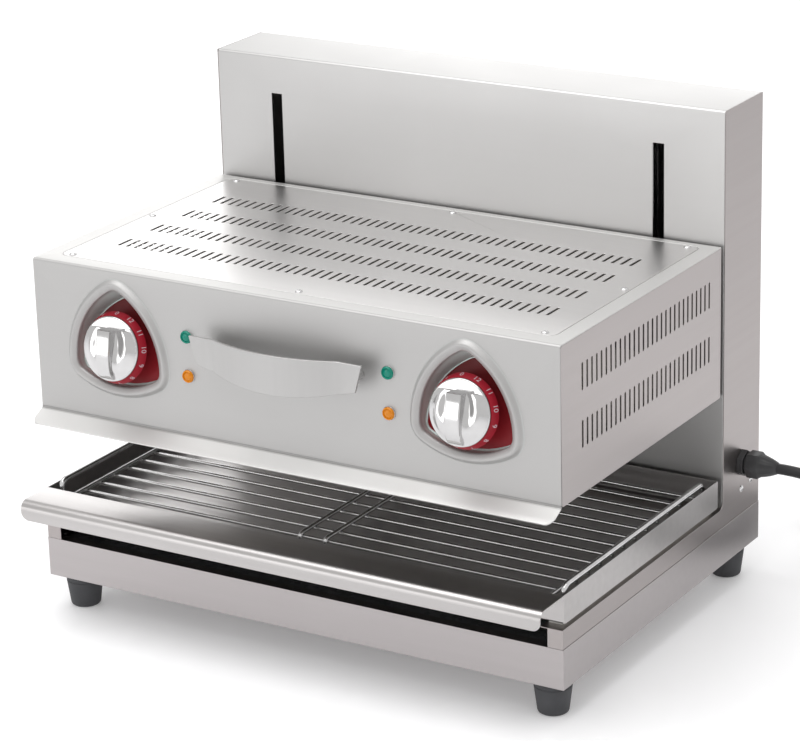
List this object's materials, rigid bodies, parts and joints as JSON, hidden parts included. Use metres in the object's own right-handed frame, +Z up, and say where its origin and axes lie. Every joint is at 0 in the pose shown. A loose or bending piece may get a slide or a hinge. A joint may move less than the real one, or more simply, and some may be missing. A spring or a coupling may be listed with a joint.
{
  "type": "salamander grill",
  "caption": "Electric lift salamander grill: a heated head with two control knobs and a bowed handle rides up a slotted rear column over a pull-out drip tray with a wire rack.",
  "frame": {"origin": "on the worktop, at the middle of the width and of the depth from the tray's lip to the column's back", "axes": "+X to the right as seen from the front, +Y to the back, +Z up"},
  "size_m": [0.7881, 0.627, 0.514],
  "materials": {
    "stainless": "fine brushed",
    "galvanised": "dull galvanised",
    "bright_steel": "bright plated",
    "ground_steel": "ground",
    "foot_rubber": "matt",
    "lead_rubber": "satin",
    "black_plastic": "satin",
    "white_plastic": "matt",
    "red_enamel": "gloss",
    "green_lens": "gloss",
    "orange_lens": "gloss",
    "element_sheath": "oxidised",
    "mineral_wool": "matt",
    "cast_weight": "painted",
    "wire_rope": "stranded",
    "bronze": "machined"
  },
  "bodies": {
    "housing": {"base_tub": "stainless", "base_floor_plate": "galvanised", "side_panel_left": "stainless", "side_panel_right": "stainless", "column_shell": "stainless", "column_floor": "galvanised", "rear_cover": "stainless", "panel_screws": "bright_steel", "foot_front_left": "foot_rubber", "foot_front_right": "foot_rubber", "foot_rear_left": "foot_rubber", "foot_rear_right": "foot_rubber", "foot_screws": "bright_steel", "foot_nuts": "bright_steel", "tray_glides": "white_plastic", "guide_rods": "ground_steel", "rod_clamps": "galvanised", "pulley_brackets": "galvanised", "pulley_axles": "ground_steel", "rope_wraps": "wire_rope", "terminal_block": "white_plastic", "gland_body": "black_plastic", "gland_cap": "black_plastic", "inner_lead": "lead_rubber", "mains_lead": "lead_rubber", "lead_coil": "lead_rubber", "lead_tail": "lead_rubber", "coil_tie": "black_plastic", "plug": "black_plastic"},
    "head": {"head_sides": "stainless", "head_back_panel": "stainless", "head_shell": "stainless", "top_cover": "stainless", "top_screws": "bright_steel", "head_bottom_frame": "stainless", "reflector": "stainless", "insulation": "mineral_wool", "element_left": "element_sheath", "element_right": "element_sheath", "recess_rims": "stainless", "dial_plates": "red_enamel", "regulators": "white_plastic", "lamps_green": "green_lens", "lamps_orange": "orange_lens", "handle": "stainless", "lift_carriage": "galvanised", "bushes": "bronze", "lift_arms": "galvanised", "head_ropes": "wire_rope", "supply_lead": "lead_rubber"},
    "weight": {"counterweight": "cast_weight", "weight_ropes": "wire_rope"},
    "left_pulley": {"pulley_left": "white_plastic"},
    "right_pulley": {"pulley_right": "white_plastic"},
    "tray": {"drip_tray": "stainless"},
    "rack": {"rack_wires": "bright_steel", "rack_bars": "bright_steel"},
    "left_knob": {"knob_left": "bright_steel"},
    "right_knob": {"knob_right": "bright_steel"}
  },
  "joints": [
    {"name": "head_lift", "type": "slide", "parent": "housing", "child": "head", "axis": [0, 0, 1], "range_m": [0, 0.13], "deforming": ["head_ropes", "supply_lead"]},
    {"name": "weight_drop", "type": "slide", "parent": "housing", "child": "weight", "axis": [0, 0, 1], "range_m": [-0.13, 0], "deforming": ["weight_ropes"]},
    {"name": "left_pulley_turn", "type": "hinge", "parent": "housing", "child": "left_pulley", "pos_m": [-0.11, 0.195, 0.482], "axis": [1, 0, 0], "range_deg": [-414, 0]},
    {"name": "right_pulley_turn", "type": "hinge", "parent": "housing", "child": "right_pulley", "pos_m": [0.11, 0.195, 0.482], "axis": [1, 0, 0], "range_deg": [-414, 0]},
    {"name": "tray_slide", "type": "slide", "parent": "housing", "child": "tray", "axis": [0, -1, 0], "range_m": [0, 0.25]},
    {"name": "rack_lift", "type": "slide", "parent": "tray", "child": "rack", "axis": [0, 0, 1], "range_m": [0, 0.06]},
    {"name": "left_knob_turn", "type": "hinge", "parent": "head", "child": "left_knob", "pos_m": [-0.1985, -0.189, 0.298], "axis": [0, 0.9848, -0.1736], "range_deg": [0, 330]},
    {"name": "right_knob_turn", "type": "hinge", "parent": "head", "child": "right_knob", "pos_m": [0.1985, -0.189, 0.298], "axis": [0, 0.9848, -0.1736], "range_deg": [0, 330]}
  ],
  "couplings": [
    {"joint": "weight_drop", "follows": "head_lift", "ratio": -1},
    {"joint": "left_pulley_turn", "follows": "head_lift", "rad_per_m": -55.556},
    {"joint": "right_pulley_turn", "follows": "head_lift", "rad_per_m": -55.556}
  ]
}
